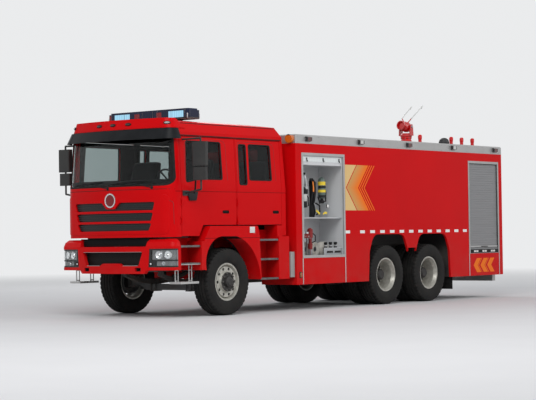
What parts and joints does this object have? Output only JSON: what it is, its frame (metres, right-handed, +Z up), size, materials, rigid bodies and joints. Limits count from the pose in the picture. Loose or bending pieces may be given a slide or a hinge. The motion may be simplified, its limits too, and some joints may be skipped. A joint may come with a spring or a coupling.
{
  "type": "fire rescue truck",
  "caption": "Fire rescue truck with a tilting crew cab, opening doors, steered front wheels, twin rear wheels, shuttered equipment lockers and a roof water monitor.",
  "frame": {"origin": "on the ground under the middle of the truck's length and width", "axes": "+Z up, +Y towards the rear of the truck, +X towards its left side; the front faces -Y"},
  "size_m": [3.18, 9.927, 3.768],
  "materials": {
    "red_paint": "gloss red coach paint",
    "frame_paint": "satin black chassis paint",
    "engine_grey": "painted casting",
    "bright_aluminium": "brushed",
    "shutter_grey": "anodised slats",
    "lamp_glass": "clear and red lenses",
    "blue_lens": "blue lens",
    "window_glass": "tinted safety glass",
    "black_trim": "grained black",
    "flap_rubber": "rubber sheet",
    "hose_canvas": "woven hose jacket",
    "gear_finish": "painted steel",
    "tyre_rubber": "tyre rubber",
    "wheel_steel": "silver wheel paint"
  },
  "bodies": {
    "chassis": {"frame_rails": "frame_paint", "cross_members": "frame_paint", "engine": "engine_grey", "prop_shafts": "frame_paint", "axles": "frame_paint", "leaf_springs": "frame_paint", "cab_mounts": "frame_paint", "front_bumper": "red_paint", "headlamps": "lamp_glass", "cab_wings": "red_paint", "step_treads": "bright_aluminium", "battery_box": "black_trim", "body_sides": "red_paint", "body_end_walls": "red_paint", "body_floor": "frame_paint", "roof_deck": "bright_aluminium", "roof_rail": "bright_aluminium", "roller_shutters": "shutter_grey", "locker_frames": "bright_aluminium", "hose_rolls": "hose_canvas", "rescue_gear": "gear_finish", "body_lamps": "lamp_glass", "rear_fittings": "bright_aluminium", "mud_flaps": "flap_rubber"},
    "cab": {"cab_floor": "frame_paint", "cab_end_panels": "red_paint", "grille": "black_trim", "cab_sides": "red_paint", "cab_roof": "red_paint", "cab_glass": "window_glass", "sun_visor": "black_trim", "light_bar": "blue_lens", "cab_interior": "black_trim"},
    "tie_rod": {"tie_rod": "frame_paint"},
    "monitor_swivel": {"monitor_swivel": "red_paint"},
    "monitor_barrel": {"monitor_barrel": "red_paint"},
    "door_front_left": {"door_front_left": "red_paint", "glass_front_left": "window_glass", "mirror_left": "black_trim"},
    "door_rear_left": {"door_rear_left": "red_paint", "glass_rear_left": "window_glass"},
    "knuckle_left": {"knuckle_left": "frame_paint"},
    "wheel_front_left": {"tyre_front_left": "tyre_rubber", "rim_front_left": "wheel_steel"},
    "wheel_middle_left": {"tyre_middle_left": "tyre_rubber", "rim_middle_left": "wheel_steel"},
    "wheel_rear_left": {"tyre_rear_left": "tyre_rubber", "rim_rear_left": "wheel_steel"},
    "door_front_right": {"door_front_right": "red_paint", "glass_front_right": "window_glass", "mirror_right": "black_trim"},
    "door_rear_right": {"door_rear_right": "red_paint", "glass_rear_right": "window_glass"},
    "knuckle_right": {"knuckle_right": "frame_paint"},
    "wheel_front_right": {"tyre_front_right": "tyre_rubber", "rim_front_right": "wheel_steel"},
    "wheel_middle_right": {"tyre_middle_right": "tyre_rubber", "rim_middle_right": "wheel_steel"},
    "wheel_rear_right": {"tyre_rear_right": "tyre_rubber", "rim_rear_right": "wheel_steel"}
  },
  "joints": [
    {"name": "cab_tilt", "type": "hinge", "parent": "chassis", "child": "cab", "pos_m": [0, -4.6935, 0.95], "axis": [1, 0, 0], "range_deg": [0, 45]},
    {"name": "door_front_left_hinge", "type": "hinge", "parent": "cab", "child": "door_front_left", "pos_m": [1.152, -4.5675, 1.645], "axis": [0, 0, -1], "range_deg": [0, 70]},
    {"name": "door_rear_left_hinge", "type": "hinge", "parent": "cab", "child": "door_rear_left", "pos_m": [1.152, -3.2175, 1.645], "axis": [0, 0, -1], "range_deg": [0, 70]},
    {"name": "steer_left", "type": "hinge", "parent": "chassis", "child": "knuckle_left", "pos_m": [0.875, -3.4935, 0.53], "axis": [0, 0, 1], "range_deg": [-36, 36]},
    {"name": "wheel_front_left_spin", "type": "hinge", "parent": "knuckle_left", "child": "wheel_front_left", "pos_m": [1.015, -3.4935, 0.53], "axis": [1, 0, 0], "continuous": true},
    {"name": "wheel_middle_left_spin", "type": "hinge", "parent": "chassis", "child": "wheel_middle_left", "pos_m": [0.89, 0.8815, 0.53], "axis": [1, 0, 0], "continuous": true},
    {"name": "wheel_rear_left_spin", "type": "hinge", "parent": "chassis", "child": "wheel_rear_left", "pos_m": [0.89, 2.2815, 0.53], "axis": [1, 0, 0], "continuous": true},
    {"name": "door_front_right_hinge", "type": "hinge", "parent": "cab", "child": "door_front_right", "pos_m": [-1.152, -4.5675, 1.645], "axis": [0, 0, 1], "range_deg": [0, 70]},
    {"name": "door_rear_right_hinge", "type": "hinge", "parent": "cab", "child": "door_rear_right", "pos_m": [-1.152, -3.2175, 1.645], "axis": [0, 0, 1], "range_deg": [0, 70]},
    {"name": "steer_right", "type": "hinge", "parent": "chassis", "child": "knuckle_right", "pos_m": [-0.875, -3.4935, 0.53], "axis": [0, 0, 1], "range_deg": [-36, 36]},
    {"name": "wheel_front_right_spin", "type": "hinge", "parent": "knuckle_right", "child": "wheel_front_right", "pos_m": [-1.015, -3.4935, 0.53], "axis": [1, 0, 0], "continuous": true},
    {"name": "wheel_middle_right_spin", "type": "hinge", "parent": "chassis", "child": "wheel_middle_right", "pos_m": [-0.89, 0.8815, 0.53], "axis": [1, 0, 0], "continuous": true},
    {"name": "wheel_rear_right_spin", "type": "hinge", "parent": "chassis", "child": "wheel_rear_right", "pos_m": [-0.89, 2.2815, 0.53], "axis": [1, 0, 0], "continuous": true},
    {"name": "tie_rod_pivot", "type": "hinge", "parent": "knuckle_left", "child": "tie_rod", "pos_m": [0.875, -3.3035, 0.4117], "axis": [0, 0, 1], "range_deg": [-36, 36]},
    {"name": "monitor_turn", "type": "hinge", "parent": "chassis", "child": "monitor_swivel", "pos_m": [0, 3.3765, 3.16], "axis": [0, 0, 1], "continuous": true},
    {"name": "monitor_elevate", "type": "hinge", "parent": "monitor_swivel", "child": "monitor_barrel", "pos_m": [0, 3.3765, 3.335], "axis": [-1, 0, 0], "range_deg": [-15, 70]}
  ],
  "couplings": [
    {"joint": "steer_right", "follows": "steer_left", "ratio": 1},
    {"joint": "tie_rod_pivot", "follows": "steer_left", "ratio": -1}
  ]
}
